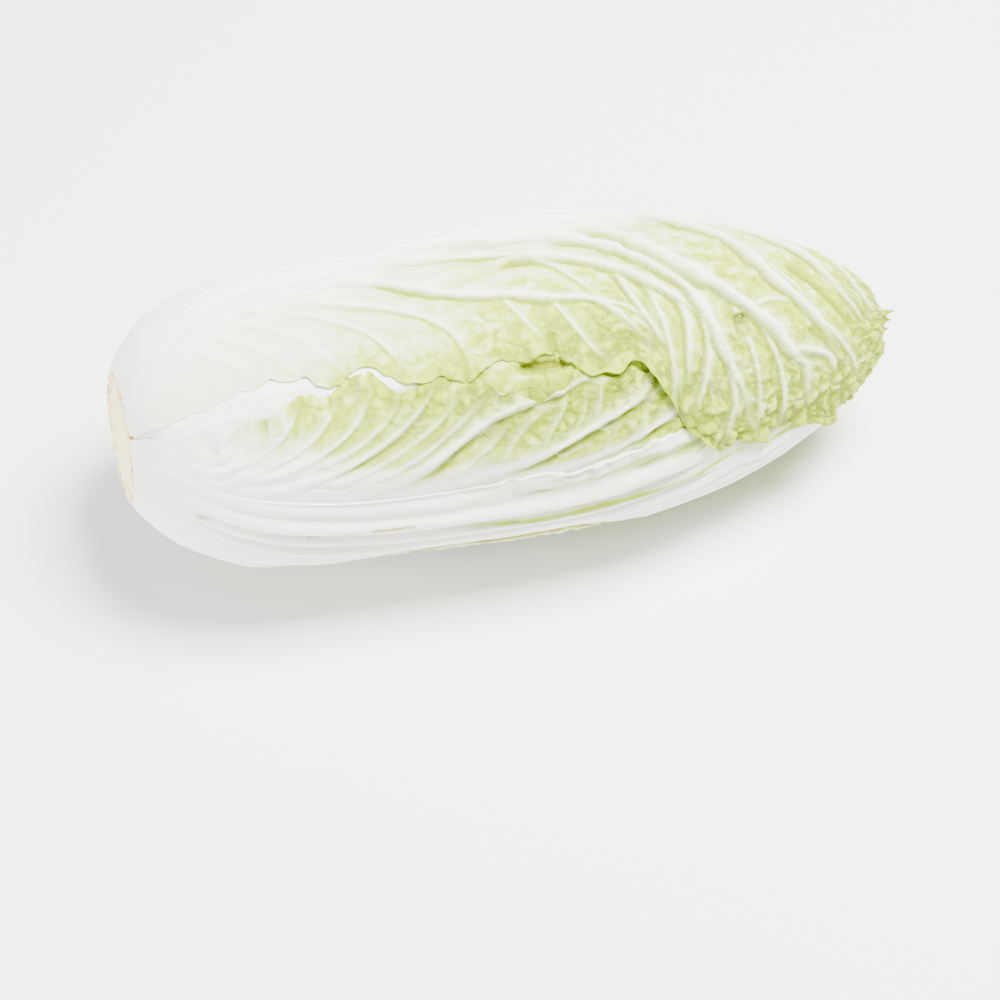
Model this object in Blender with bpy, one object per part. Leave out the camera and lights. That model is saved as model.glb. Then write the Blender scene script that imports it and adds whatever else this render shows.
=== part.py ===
"""Napa cabbage lying on its side, built as its separate leaves.

Metres, +Z up. The head lies along X with the cut stump at -X and the leaf tips
at +X, and rests on z = 0. Every leaf is a closed shell laid over the leaves
inside it. A leaf's depth below the outer surface is the sum of the pitches of
the leaves that lie over it, so a leaf rises to the surface wherever nothing
covers it.
"""

import math

import bmesh
import bpy
from mathutils import Vector

# ------------------------------------------------------------- dimensions (m)
LENGTH = 0.343          # cut face to leaf tips
RADIUS = 0.0705         # outer radius at the fullest place
AXIS_HEIGHT = 0.0660    # height of the axis at mid length
AXIS_FALL = 0.046       # the axis falls this much per metre towards the tips
STUMP_RADIUS = 0.0290   # radius of the cut face
STUMP_DEPTH = 0.036     # how far the stump reaches into the head
STUMP_INNER = 0.0135    # radius of the stump's inner end
SHELL_SHARE = 0.50      # leaf thickness as a share of its ring's pitch
HEART_GAP = 0.0022      # air between the heart and the leaves over it
FALLOFF = 40.0          # degrees over which a covered leaf rises again

# radius along the length: (distance from the cut face, radius)
PROFILE = (
    (0.000, 0.0285), (0.006, 0.0380), (0.016, 0.0490), (0.030, 0.0570),
    (0.055, 0.0637), (0.090, 0.0675), (0.140, 0.0701), (0.190, 0.0705),
    (0.235, 0.0650), (0.275, 0.0550), (0.305, 0.0430), (0.330, 0.0250),
    (0.343, 0.0060),
)

# stations along the length where every leaf has a row of vertices
ROWS = (0.0030, 0.0095, 0.020, 0.040, 0.075, 0.115, 0.155,
        0.195, 0.230, 0.262, 0.291, 0.314, 0.330, 0.3375)

# spacing of the leaves in each ring, outermost ring first
PITCH = (0.0032, 0.0034, 0.0038, 0.0042, 0.0046, 0.0050, 0.0052)

# Edge angles are in degrees about the axis: 0 is up, 90 faces -Y, 180 is down.
# Each edge is given at six places from the base to the end of the leaf.
# (name, ring, last row, first edge, second edge), outermost leaf first
LEAVES = [
    ("leaf_1_top", 0, 13,
     (-80, -96, -104, -108, -108, -70), (33, 32, 29, 52, 92, 110)),
    ("leaf_1_under", 0, 12,
     (176, 146, 121, 124, 150, 178), (272, 284, 292, 296, 290, 262)),
    ("leaf_1_low", 0, 12,
     (62, 68, 76, 73, 68, 72), (164, 182, 190, 192, 182, 166)),
    ("leaf_1_front", 0, 12,
     (44, 42, 37, 42, 50, 62), (112, 120, 124, 124, 120, 112)),
    ("leaf_2_front", 1, 12,
     (-20, -28, -35, -40, -40, -18), (92, 98, 102, 104, 100, 88)),
    ("leaf_2_under", 1, 12,
     (112, 97, 92, 90, 94, 122), (222, 234, 240, 240, 234, 208)),
    ("leaf_2_back", 1, 13,
     (226, 216, 206, 202, 208, 236), (344, 354, 362, 364, 358, 330)),
]

# inner rings: centre of the first leaf, half width, last row
INNER_RINGS = ((2, -24.0, 64.0, 13), (3, 36.0, 63.0, 12), (4, -20.0, 62.0, 12),
               (5, 42.0, 61.0, 11), (6, -16.0, 60.0, 11))
INNER_PLACES = ("a", "b", "c")

COLORS = {
    "stump": (0.86, 0.80, 0.60), "ring0": (0.84, 0.90, 0.66),
    "ring1": (0.82, 0.88, 0.58), "inner": (0.88, 0.88, 0.50),
    "heart": (0.90, 0.86, 0.42),
}


def lerp_table(table, x):
    """Piecewise cubic (Hermite) interpolation of (x, y) pairs."""
    if x <= table[0][0]:
        return table[0][1]
    if x >= table[-1][0]:
        return table[-1][1]
    k = 0
    while table[k + 1][0] < x:
        k += 1

    def slope(i):
        lo, hi = max(i - 1, 0), min(i + 1, len(table) - 1)
        return (table[hi][1] - table[lo][1]) / (table[hi][0] - table[lo][0])

    (x0, y0), (x1, y1) = table[k], table[k + 1]
    h = x1 - x0
    t = (x - x0) / h
    return (
        y0 * (2 * t**3 - 3 * t**2 + 1) + y1 * (3 * t**2 - 2 * t**3)
        + slope(k) * h * (t**3 - 2 * t**2 + t) + slope(k + 1) * h * (t**3 - t**2)
    )


def edge_angle(edge, share):
    """The angle of a leaf edge at a share (0 to 1) of the leaf's length."""
    step = 1.0 / (len(edge) - 1)
    return lerp_table([(i * step, a) for i, a in enumerate(edge)], share)


def head_point(along, angle, depth):
    """A point of the head, `depth` below its outer surface."""
    radius = lerp_table(PROFILE, along) * (1.0 - depth / RADIUS)
    x = (along - LENGTH / 2) * (1.0 - depth / (LENGTH / 2))
    a = math.radians(angle)
    z = AXIS_HEIGHT - AXIS_FALL * x + radius * math.cos(a)
    return Vector((x, -radius * math.sin(a), max(z, depth)))


class Leaf:
    """Where one leaf lies: its rows and the angles of its two edges."""

    def __init__(self, name, ring, last, first, second, columns):
        self.name, self.ring, self.last = name, ring, last
        self.columns = columns
        shares = [i / last for i in range(last + 1)]
        self.low = [edge_angle(first, s) for s in shares]
        self.high = [edge_angle(second, s) for s in shares]

    def spacing(self):
        return max(h - w for w, h in zip(self.low, self.high)) / self.columns

    def cover(self, row, angle, reach):
        """1 under this leaf and `reach` degrees past it, falling to 0 beyond."""
        if row > self.last:
            return 0.0
        near = range(max(row - 1, 0), min(row + 1, self.last) + 1)
        low = min(self.low[i] for i in near) - reach
        high = max(self.high[i] for i in near) + reach
        middle, half = (low + high) / 2, (high - low) / 2
        off = abs((angle - middle + 180.0) % 360.0 - 180.0) - half
        return min(max(1.0 - off / FALLOFF, 0.0), 1.0)


def depth_under(above, row, angle, reach):
    """Depth of a leaf at one place: the pitches of all leaves over it."""
    return sum(PITCH[j.ring] * j.cover(row, angle, reach) for j in above)


def new_object(name, bm, color, roughness):
    bmesh.ops.recalc_face_normals(bm, faces=bm.faces)
    mesh = bpy.data.meshes.new(name)
    bm.to_mesh(mesh)
    bm.free()
    for polygon in mesh.polygons:
        polygon.use_smooth = True
    material = bpy.data.materials.new(name + "_material")
    material.use_nodes = True
    shader = material.node_tree.nodes["Principled BSDF"]
    shader.inputs["Base Color"].default_value = (*color, 1.0)
    shader.inputs["Roughness"].default_value = roughness
    shader.inputs["Metallic"].default_value = 0.0
    mesh.materials.append(material)
    obj = bpy.data.objects.new(name, mesh)
    bpy.context.scene.collection.objects.link(obj)
    return obj


def skin(bm, rows, angles):
    """Triangles between rows, each quad split along its flatter diagonal."""
    for i in range(len(rows) - 1):
        for c in range(len(rows[i]) - 1):
            a, b = rows[i][c], rows[i][c + 1]
            d, e = rows[i + 1][c + 1], rows[i + 1][c]
            if (abs(angles[i][c] - angles[i + 1][c + 1])
                    < abs(angles[i][c + 1] - angles[i + 1][c])):
                bm.faces.new((a, b, d))
                bm.faces.new((a, d, e))
            else:
                bm.faces.new((a, b, e))
                bm.faces.new((b, d, e))


def build_leaf(leaf, above):
    """A closed shell: outer rows, inner rows and a rim all round."""
    bm = bmesh.new()
    thick = PITCH[leaf.ring] * SHELL_SHARE
    reach = leaf.spacing() + 2.0
    angles = [
        [leaf.low[i] + (leaf.high[i] - leaf.low[i]) * c / leaf.columns
         for c in range(leaf.columns + 1)]
        for i in range(leaf.last + 1)
    ]
    sides = [
        [[bm.verts.new(head_point(
            ROWS[i], a, depth_under(above, i, a, reach) + extra)) for a in row]
         for i, row in enumerate(angles)]
        for extra in (0.0, thick)
    ]
    outer, inner = sides
    skin(bm, outer, angles)
    skin(bm, inner, angles)
    for i in range(leaf.last):
        for c in (0, leaf.columns):
            bm.faces.new((outer[i][c], outer[i + 1][c],
                          inner[i + 1][c], inner[i][c]))
    for i in (0, leaf.last):
        for c in range(leaf.columns):
            bm.faces.new((outer[i][c], outer[i][c + 1],
                          inner[i][c + 1], inner[i][c]))
    color = COLORS["ring%d" % leaf.ring] if leaf.ring < 2 else COLORS["inner"]
    return new_object(leaf.name, bm, color, 0.45)


def build_heart(leaves):
    """The unopened bud in the middle, one closed body."""
    bm = bmesh.new()
    columns = 16
    rows = []
    for i in range(len(ROWS) - 1):
        row = []
        for c in range(columns):
            angle = 360.0 * c / columns
            depth = depth_under(leaves, min(i, 11), angle, 30.0) + HEART_GAP
            row.append(bm.verts.new(head_point(ROWS[i], angle, depth)))
        rows.append(row)
    for lower, upper in zip(rows, rows[1:]):
        for c in range(columns):
            d = (c + 1) % columns
            bm.faces.new((lower[c], lower[d], upper[d], upper[c]))
    for row in (rows[0], rows[-1]):
        middle = sum((v.co for v in row), Vector()) / columns
        pole = bm.verts.new(middle)
        for c in range(columns):
            bm.faces.new((row[c], row[(c + 1) % columns], pole))
    return new_object("heart", bm, COLORS["heart"], 0.5)


def build_stump():
    """The cut stem: a short cone the leaves grow round."""
    bm = bmesh.new()
    columns = 28
    half = LENGTH / 2
    rings = (
        (-half, STUMP_RADIUS - 0.0012), (-half + 0.0012, STUMP_RADIUS),
        (-half + STUMP_DEPTH * 0.5, (STUMP_RADIUS + STUMP_INNER) / 2),
        (-half + STUMP_DEPTH, STUMP_INNER),
    )
    rows = []
    for x, radius in rings:
        z = AXIS_HEIGHT - AXIS_FALL * x
        turn = [2 * math.pi * c / columns for c in range(columns)]
        rows.append([
            bm.verts.new((x, -radius * math.sin(t), z + radius * math.cos(t)))
            for t in turn
        ])
    for lower, upper in zip(rows, rows[1:]):
        for c in range(columns):
            d = (c + 1) % columns
            bm.faces.new((lower[c], lower[d], upper[d], upper[c]))
    bm.faces.new(rows[0])
    bm.faces.new(rows[-1])
    return new_object("stump", bm, COLORS["stump"], 0.6)


def main():
    for obj in list(bpy.data.objects):
        bpy.data.objects.remove(obj, do_unlink=True)
    leaves = [Leaf(*spec, columns=12) for spec in LEAVES]
    for ring, centre, half, last in INNER_RINGS:
        for k, place in enumerate(INNER_PLACES):
            middle = centre + 120.0 * k
            name = "leaf_%d_%s" % (ring + 1, place)
            low = (middle - half,) * 5 + (middle - 0.7 * half,)
            high = (middle + half,) * 5 + (middle + 0.7 * half,)
            leaves.append(Leaf(name, ring, last, low, high, columns=7))
    objects = [build_leaf(leaf, leaves[:k]) for k, leaf in enumerate(leaves)]
    objects.append(build_heart(leaves))
    objects.append(build_stump())
    # centre the box on X and Y
    points = [v.co for o in objects for v in o.data.vertices]
    mid_x = (min(p.x for p in points) + max(p.x for p in points)) / 2
    mid_y = (min(p.y for p in points) + max(p.y for p in points)) / 2
    low_z = min(p.z for p in points)
    for obj in objects:
        for vertex in obj.data.vertices:
            vertex.co -= Vector((mid_x, mid_y, low_z))
    print("shift", round(mid_x, 5), round(mid_y, 5), round(low_z, 5))


main()
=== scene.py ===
"""Napa cabbage lying on its side, with ribbed and puckered leaves.

Every leaf is a thin closed shell laid over the head, outermost leaf first.
Each next leaf is pressed in wherever a finished leaf lies over it, and rises
to the outer surface again where nothing does.
"""

import math

import bmesh
import bpy
import numpy as np
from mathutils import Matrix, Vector


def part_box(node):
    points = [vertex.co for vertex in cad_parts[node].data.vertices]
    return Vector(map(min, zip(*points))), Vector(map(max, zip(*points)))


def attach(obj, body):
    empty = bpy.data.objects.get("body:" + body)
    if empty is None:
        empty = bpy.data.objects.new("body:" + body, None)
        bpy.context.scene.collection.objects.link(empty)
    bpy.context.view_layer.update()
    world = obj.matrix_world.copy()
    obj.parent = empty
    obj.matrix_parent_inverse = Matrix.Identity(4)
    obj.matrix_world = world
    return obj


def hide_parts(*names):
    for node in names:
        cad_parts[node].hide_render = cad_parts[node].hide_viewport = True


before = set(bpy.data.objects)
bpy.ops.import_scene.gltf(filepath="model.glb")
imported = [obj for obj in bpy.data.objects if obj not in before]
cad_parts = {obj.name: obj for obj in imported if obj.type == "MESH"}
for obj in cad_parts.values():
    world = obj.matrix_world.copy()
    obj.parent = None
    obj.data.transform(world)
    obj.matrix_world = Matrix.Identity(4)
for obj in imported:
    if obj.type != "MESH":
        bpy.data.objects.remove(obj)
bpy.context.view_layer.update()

bl_info = {
    "name": "Napa cabbage",
    "version": (1, 0, 0),
    "blender": (4, 5, 0),
    "location": "View3D > Sidebar > Napa",
    "description": "Builds a napa cabbage from its leaves, heart and stump",
    "category": "Object",
}

MM = 0.001

# ------------------------------------------------------------------ the head
LENGTH = 343.0          # cut face to leaf tips, mm
RADIUS = 70.5           # outer radius at the fullest place, mm
AXIS_HEIGHT = 66.0      # height of the axis at mid length, mm
AXIS_FALL = 0.046       # fall of the axis towards the tips
CUT_LEAN = (0.11, 0.055)  # lean of the cut face, upwards and to the front
STUMP_LOW, STUMP_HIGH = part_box("stump")
CENTRE_X = STUMP_LOW[0] / MM + LENGTH / 2
CENTRE_Y = (STUMP_LOW[1] + STUMP_HIGH[1]) / MM / 2

# outer radius along the length, both in mm
PROFILE = (
    (0, 28.5), (6, 38.0), (16, 49.0), (30, 57.0), (55, 63.7), (90, 67.5),
    (140, 70.1), (190, 70.5), (235, 65.0), (275, 55.0), (305, 43.0),
    (324, 30.5), (336, 19.5), (343, 9.0),
)

# soft swellings of the whole head: along, angle, spans of each, height in mm
SWELLS = (
    (185, -48, 45, 26, 3.0), (60, -40, 45, 30, -1.0), (322, -8, 22, 40, 2.0),
    (60, 100, 40, 25, 1.0),
)


def smooth_table(points, x):
    """Smooth curve through (x, y) points, held level past both ends."""
    xs, ys = np.array(points, float).T
    if len(xs) == 1:
        return ys[0] + 0 * x
    x = np.clip(x, xs[0], xs[-1])
    low = np.r_[0, 0:len(xs) - 1]
    high = np.r_[1:len(xs), len(xs) - 1]
    slope = (ys[high] - ys[low]) / (xs[high] - xs[low])
    k = np.clip(np.searchsorted(xs, x, "right") - 1, 0, len(xs) - 2)
    h = xs[k + 1] - xs[k]
    t = (x - xs[k]) / h
    return (ys[k] * (2 * t**3 - 3 * t**2 + 1)
            + ys[k + 1] * (3 * t**2 - 2 * t**3)
            + slope[k] * h * (t**3 - 2 * t**2 + t)
            + slope[k + 1] * h * (t**3 - t**2))


def turn_gap(angle, other):
    """Signed difference of two angles in degrees, from -180 to 180."""
    return (angle - other + 180.0) % 360.0 - 180.0


def step(low, high, x):
    """Smooth rise from 0 at low to 1 at high."""
    t = np.clip((x - low) / (high - low), 0.0, 1.0)
    return t * t * (3 - 2 * t)


def head_radius(along, angle):
    radius = smooth_table(PROFILE, along)
    for a, b, span_a, span_b, height in SWELLS:
        radius = radius + height * np.exp(
            -((along - a) / span_a) ** 2 - (turn_gap(angle, b) / span_b) ** 2)
    return radius


def head_points(along, angle, depth):
    """Points `depth` mm below the outer surface; returns (..., 3) in mm."""
    radius = head_radius(along, angle) * (1 - depth / RADIUS)
    x = (along - LENGTH / 2) * (1 - depth / (LENGTH / 2))
    turn = np.radians(angle)
    z = AXIS_HEIGHT - AXIS_FALL * x + radius * np.cos(turn)
    floor = np.maximum(depth, 0.0)
    z = floor + 0.5 * ((z - floor) + np.sqrt((z - floor) ** 2 + 0.6))
    return np.stack([x + CENTRE_X, CENTRE_Y - radius * np.sin(turn), z], -1)


ARC_ALONG = np.linspace(0, LENGTH, 1400)
ARC_LENGTH = np.r_[0, np.cumsum(np.hypot(
    np.diff(ARC_ALONG), np.diff(smooth_table(PROFILE, ARC_ALONG))))]


# --------------------------------------------------------------------- noise
def hashed(i, j, seed):
    """Fixed scattered numbers from 0 to 1, one for each whole i and j."""
    n = (i * 374761393 + j * 668265263 + seed * 974711) & 0x7FFFFFFF
    n = ((n ^ (n >> 13)) * 1274126177) & 0x7FFFFFFF
    n = ((n ^ (n >> 16)) * 60493) & 0x7FFFFFFF
    return (n & 0xFFFFFF) / float(0x1000000)


def eased(t):
    return t * t * t * (t * (t * 6 - 15) + 10)


def noise(x, y, seed):
    """Smooth noise from -1 to 1 with features one unit across."""
    i, j = np.floor(x).astype(np.int64), np.floor(y).astype(np.int64)
    u, v = eased(x - i), eased(y - j)
    a, b = hashed(i, j, seed), hashed(i + 1, j, seed)
    c, d = hashed(i, j + 1, seed), hashed(i + 1, j + 1, seed)
    return 2 * (a + (b - a) * u + (c - a) * v + (a - b - c + d) * u * v) - 1


def layered(x, y, seed, octaves=3):
    total = sum(noise(x * 2**k, y * 2**k, seed + 17 * k) / 2**k
                for k in range(octaves))
    return total / 1.6


JITTER = 0.85             # how far a cell's point may stray, in cells


def cells(points, seed):
    """Distances to the nearest and the second nearest of scattered points."""
    points = points.reshape(-1, 3)
    home = np.floor(points).astype(np.int64)
    best = np.full(len(points), 9.0)
    second = np.full(len(points), 9.0)
    around = (-1, 0, 1)
    for move in ((i, j, k) for i in around for j in around for k in around):
        cell = home + np.array(move)
        column = cell[:, 1] + 1009 * cell[:, 2]
        gap = np.zeros(len(points))
        for axis in range(3):
            place = cell[:, axis] + 0.5 + JITTER * (
                hashed(cell[:, 0], column, seed + 5 * axis) - 0.5)
            gap += (place - points[:, axis]) ** 2
        second = np.where(gap < best, best, np.minimum(second, gap))
        best = np.minimum(best, gap)
    return np.sqrt(best), np.sqrt(second)


# --------------------------------------------------------------------- veins
VEIN_STEP = 1.6         # distance between samples of a vein, mm
MM_PER_DEGREE = 1.1     # near the head's fullest place
FAR = 50.0              # stands for the distance to no vein at all, mm
AT_ONCE = 12000         # points measured at a time, to spare memory


def vein_path(points, spacing=VEIN_STEP):
    """Even samples of a smooth curve through (along, angle) points."""
    points = np.array(points, float)
    reach = np.r_[0, np.cumsum(np.hypot(
        np.diff(points[:, 0]), np.diff(points[:, 1]) * MM_PER_DEGREE))]
    count = max(4, int(reach[-1] / spacing))
    at = np.linspace(0, reach[-1], count)
    return np.stack([
        smooth_table(np.stack([reach, points[:, k]], -1), at) for k in (0, 1)
    ], -1)


def vein_relief(points, angles, veins, tent=0.75):
    """Height, whiteness, distance, crease, painted shade on the lee side and
    run of the veins.

    A vein stands like the crest of a fold: the blade climbs to it gently from
    one side and drops into a crease on the other.
    """
    flat, turns = points.reshape(-1, 3), np.radians(angles.ravel())
    away = np.stack([turns * 0, -np.sin(turns), np.cos(turns)], -1)
    height, white, crease, lee_shade, ran = np.zeros((5, len(flat)))
    near = np.full(len(flat), FAR)
    for number, (path, width, tall, taper) in enumerate(veins):
        track = vein_path(path)
        line = head_points(track[:, 0], track[:, 1], 0.0)
        reach = 3.2 * width + (12.0 if tent > 0.5 else 3.0)
        inside = np.all((flat > line.min(0) - reach)
                        & (flat < line.max(0) + reach), axis=1)
        chosen = np.nonzero(inside)[0]
        if not len(chosen):
            continue
        start, run = line[:-1], np.diff(line, axis=0)
        length2 = (run ** 2).sum(1) + 1e-9
        for part in np.array_split(chosen, max(1, len(chosen) // AT_ONCE)):
            off = flat[part, None, :] - start[None]
            t = np.clip((off * run[None]).sum(-1) / length2, 0, 1)
            gap = ((off - t[..., None] * run[None]) ** 2).sum(-1)
            best = gap.argmin(1)
            rows = np.arange(len(part))
            d = np.sqrt(gap[rows, best])
            share = t[rows, best]
            along = (best + share) / len(run)
            past = off[rows, best] - share[:, None] * run[best]
            ahead = run[best] / np.sqrt(length2[best])[:, None]
            lee = step(-0.7, 0.7, -(np.cross(ahead, past) * away[part]).sum(1))
            size = (1 - taper * along) * step(-0.02, 0.10, along) * (
                1 - 0.75 * step(0.80, 1.0, along))
            w = width * (1 - taper * along)
            d = d * (1 + 0.28 * noise(
                along * len(run) / 4.0, along * 0 + number, 77))
            slope = (lee * np.exp(-d / (0.6 * w + 0.5))
                     + (1 - lee) * np.exp(-d / (2.2 * w + 2.6)))
            ridge = 0.36 * np.exp(-(d / (1.05 * w)) ** 2) + tent * slope
            groove = lee * np.exp(-((d - 1.6 * w) / (0.6 * w + 0.5)) ** 2)
            groove = groove * tall * size * step(0.8, 1.7, width)
            height[part] = np.maximum(height[part], tall * size * ridge)
            crease[part] = np.maximum(crease[part], groove)
            # painted shade: the lee side of each vein turns greener, fading
            # away from its crease
            lee_shade[part] = np.maximum(lee_shade[part], size * lee * np.exp(
                -np.maximum(d - 1.3 * w, 0) / 4.5) * step(0.8, 1.7, width))
            soft = lee * (1 - step(0.30 * w, 1.45 * w + 0.3, d)) + (
                1 - lee) * (0.35 * (1 - step(0.3 * w, 1.4 * w + 0.3, d))
                            + 0.65 * np.exp(-(d / (1.5 * w + 1.2)) ** 2))
            white[part] = np.maximum(
                white[part], soft
                * (1 - 0.8 * step(0.75, 1.0, along))
                * step(0.0, 0.2, along) * min(1.0, 0.35 + 0.27 * width))
            ran[part] = np.where(
                d < near[part],
                along * len(run) * VEIN_STEP + 31.0 * number, ran[part])
            near[part] = np.minimum(near[part], d)
    shape = points.shape[:-1]
    return [field.reshape(shape)
            for field in (height, white, near, crease, lee_shade, ran)]


def fanned_veins(leaf, sides=(-1, 1), count=9, first=45.0, gap=26.0):
    """Side veins that leave the midrib and curve out to the leaf's edge."""
    veins = []
    for side in sides:
        for k in range(count):
            start = first + gap * k + (gap * 0.45 if side > 0 else 0)
            if start > leaf.end - 18:
                break
            run = min(118 - 5.5 * k, leaf.end + 4 - start)
            points = []
            for t in np.linspace(0, 1, 6):
                along = start + run * t
                mid = smooth_table(leaf.mid, along)
                edge = smooth_table(leaf.high if side > 0 else leaf.low, along)
                rib = smooth_table(leaf.rib, start) * 0.75
                wander = 3.0 * math.sin(7.1 * k + 3.3 * t + leaf.seed)
                angle = mid + side * (
                    rib * (1 - t) + 0.93 * abs(edge - mid) * t ** 1.55)
                points.append((along, angle + wander * t))
            veins.append((points, 2.4 - 0.09 * k, 1.25 - 0.05 * k, 0.62))
    return veins


def branched(veins, seed):
    """Short side twigs on each vein, turned towards the leaf tip."""
    twigs = []
    rng = np.random.default_rng(seed)
    for path, width, tall, _ in veins:
        if width < 1.05:
            continue
        track = vein_path(path, 3.0)
        run = np.cumsum(np.r_[0, np.full(len(track) - 1, 3.0)])
        at = 14.0 + 6.0 * rng.random()
        side = 1 if rng.random() < 0.5 else -1
        while at < run[-1] - 4:
            k = int(at / 3.0)
            ahead = track[min(k + 2, len(track) - 1)] - track[max(k - 1, 0)]
            turn = math.atan2(ahead[1] * MM_PER_DEGREE, ahead[0])
            turn += side * math.radians(34.0 + 18 * rng.random())
            size = 10 + 12 * rng.random()
            bend = side * math.radians(-35 - 20 * rng.random())
            points = [tuple(track[k])]
            for _ in range(5):
                last = points[-1]
                wander = math.radians(50) * (rng.random() - 0.5)
                points.append((last[0] + size / 5 * math.cos(turn + wander),
                               last[1] + size / 5.5 * math.sin(turn + wander)))
                turn += bend / 5
            twigs.append((points, 0.26 * width + 0.22, 0.45 * tall, 0.65))
            at += 8 + 7 * rng.random()
            side = -side
    return twigs


# --------------------------------------------------------- leaves over leaves
LAT_ROWS, LAT_TURNS = 330, 240
LAT_ARC = np.linspace(0, ARC_LENGTH[-1], LAT_ROWS)
LAT_ALONG = np.interp(LAT_ARC, ARC_LENGTH, ARC_ALONG)
LAT_ANGLE = np.arange(LAT_TURNS) * 360.0 / LAT_TURNS
OPEN = -99.0             # stands for the depth where no leaf lies, mm
PRESS_SLOPE, PRESS_STEPS = 0.20, 26


class Stack:
    """How deep the finished leaves' undersides reach, all over the head."""

    def __init__(self):
        self.depth = np.full((LAT_ROWS, LAT_TURNS), OPEN)
        self.pressed = self.depth.copy()

    def add(self, leaf, inner_depth):
        along, angle = np.meshgrid(LAT_ALONG, LAT_ANGLE, indexing="ij")
        row, column, inside = leaf.locate(along, angle)
        found = sample(inner_depth, row, column)
        self.depth = np.where(
            inside, np.maximum(self.depth, found), self.depth)
        self.press()

    def press(self):
        """Spread each leaf's depth past its edge, fading at a gentle slope."""
        field = self.depth.copy()
        down = PRESS_SLOPE * (LAT_ARC[1] - LAT_ARC[0])
        radius = np.maximum(smooth_table(PROFILE, LAT_ALONG), 8.0)
        round_ = PRESS_SLOPE * np.radians(360.0 / LAT_TURNS) * radius[:, None]
        for _ in range(PRESS_STEPS):
            up = np.vstack([field[1:], field[-1:]]) - down
            low = np.vstack([field[:1], field[:-1]]) - down
            left = np.roll(field, 1, 1) - round_
            right = np.roll(field, -1, 1) - round_
            field = np.maximum.reduce([field, up, low, left, right])
        self.pressed = field

    def at(self, along, angle):
        """Depth already taken at places on the head."""
        arc = np.interp(along, ARC_ALONG, ARC_LENGTH)
        row = arc / LAT_ARC[-1] * (LAT_ROWS - 1)
        column = (angle % 360.0) / 360.0 * LAT_TURNS
        wrapped = np.hstack([self.pressed, self.pressed[:, :1]])
        return sample(wrapped, row, column)


def sample(grid, row, column):
    """Grid values between its points."""
    row = np.clip(row, 0, grid.shape[0] - 1.001)
    column = np.clip(column, 0, grid.shape[1] - 1.001)
    i, j = row.astype(int), column.astype(int)
    u, v = row - i, column - j
    return (grid[i, j] * (1 - u) * (1 - v) + grid[i + 1, j] * u * (1 - v)
            + grid[i, j + 1] * (1 - u) * v + grid[i + 1, j + 1] * u * v)


def blurred(grid, times):
    """The grid with each value averaged with its neighbours."""
    for _ in range(times):
        padded = np.pad(grid, 1, mode="edge")
        grid = (padded[:-2, 1:-1] + padded[2:, 1:-1] + padded[1:-1, :-2]
                + padded[1:-1, 2:] + 2 * grid) / 6
    return grid


LEAF_OPTIONS = {
    "veins": None,            # fanned out from the midrib where not given
    "extra_veins": (), "folds": (),
    "back_fan": False,        # adds fanned veins on the far side
    "base_depth": 0.0,        # mm under the head's surface
    "sunk": 0.0,              # more depth past the stump, mm
    "thick": (3.0, 0.75),     # mm at the rib and at the blade
    "phase": 0.0,             # shifts the stalk's ribs, in rib gaps
    "ridges": 1.8,            # height of the stalk's ribs, mm
    "dense_from": 90.0,       # along, mm, past which the rows are closer
    "frill": 30.0,            # reach of the puckered edge, mm
    "flare": 2.0,             # how far the end turns outwards, mm
    "spread": 30.0,           # degrees over which the blade turns green
    "dried": 0.0,             # brownness of the edge
    "slot": "outer_leaf",
    # along, angle, the spans of each, depth in mm and share of painted shade
    # in the pit
    "dents": (),
    # along from and to, angle and width in mm
    "scars": (),
    # angle, its span and how far the tip reaches there, mm
    "lobes": (),
    # tables along the leaf
    "green": ((0, 0.3), (150, 0.75), (340, 1.0)),
    "savoy": ((0, 0.1), (120, 0.5), (230, 1.0)),
    "ruffle": ((0, 2.0),),
    "ragged": ((0, 0.0), (25, 0.4), (60, 1.0)),
}
LEAF_START = 0.2          # from the cut face to where each leaf begins, mm
RELIEF = ((0, 1.0), (170, 1.1), (250, 1.3))   # growth along the leaf


class Leaf:
    """One leaf: its edges in (along mm, angle) and its surface's values."""

    def __init__(self, name, low, high, mid, rib, end, rows, columns, seed,
                 **more):
        self.name, self.low, self.high = name, low, high
        self.mid, self.rib, self.end = mid, rib, end
        self.rows, self.columns, self.seed = rows, columns, seed
        for option, usual in LEAF_OPTIONS.items():
            setattr(self, option, more.pop(option, usual))
        if more:
            raise ValueError(f"unknown leaf values: {sorted(more)}")
        self.rows = max(4, round(self.rows / 4) * 4)
        self.columns = max(4, round(self.columns / 4) * 4)
        low_arc = np.interp(LEAF_START, ARC_ALONG, ARC_LENGTH)
        high_arc = np.interp(self.end, ARC_ALONG, ARC_LENGTH)
        arcs = np.linspace(low_arc, high_arc, 400)
        weight = 0.55 + 0.45 * step(self.dense_from - 30, self.dense_from + 30,
                                    np.interp(arcs, ARC_LENGTH, ARC_ALONG))
        share = np.r_[0, np.cumsum(weight[1:])] / weight[1:].sum()
        self.arc = np.interp(np.linspace(0, 1, self.rows + 1), share, arcs)
        self.along = np.interp(self.arc, ARC_LENGTH, ARC_ALONG)

    def locate(self, along, angle):
        """Row and column of places on the head, and which are on the leaf."""
        row = np.interp(along, self.along, np.arange(len(self.along)))
        low = smooth_table(self.low, along)
        high = smooth_table(self.high, along)
        off = turn_gap(angle, (low + high) / 2) + (high - low) / 2
        column = off / (high - low) * self.columns
        inside = ((column >= 0) & (column <= self.columns)
                  & (along >= LEAF_START) & (along <= self.end))
        return row, column, inside


RIB_GAP = 8.6           # from one stalk rib to the next, mm
PANEL, SMALL_PANEL = 7.6, 3.9   # sizes of the blade's puckers, mm
LEAST_THICK = 0.16      # of any leaf, mm
LEAST_GAP = 0.10        # between leaves, mm


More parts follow.
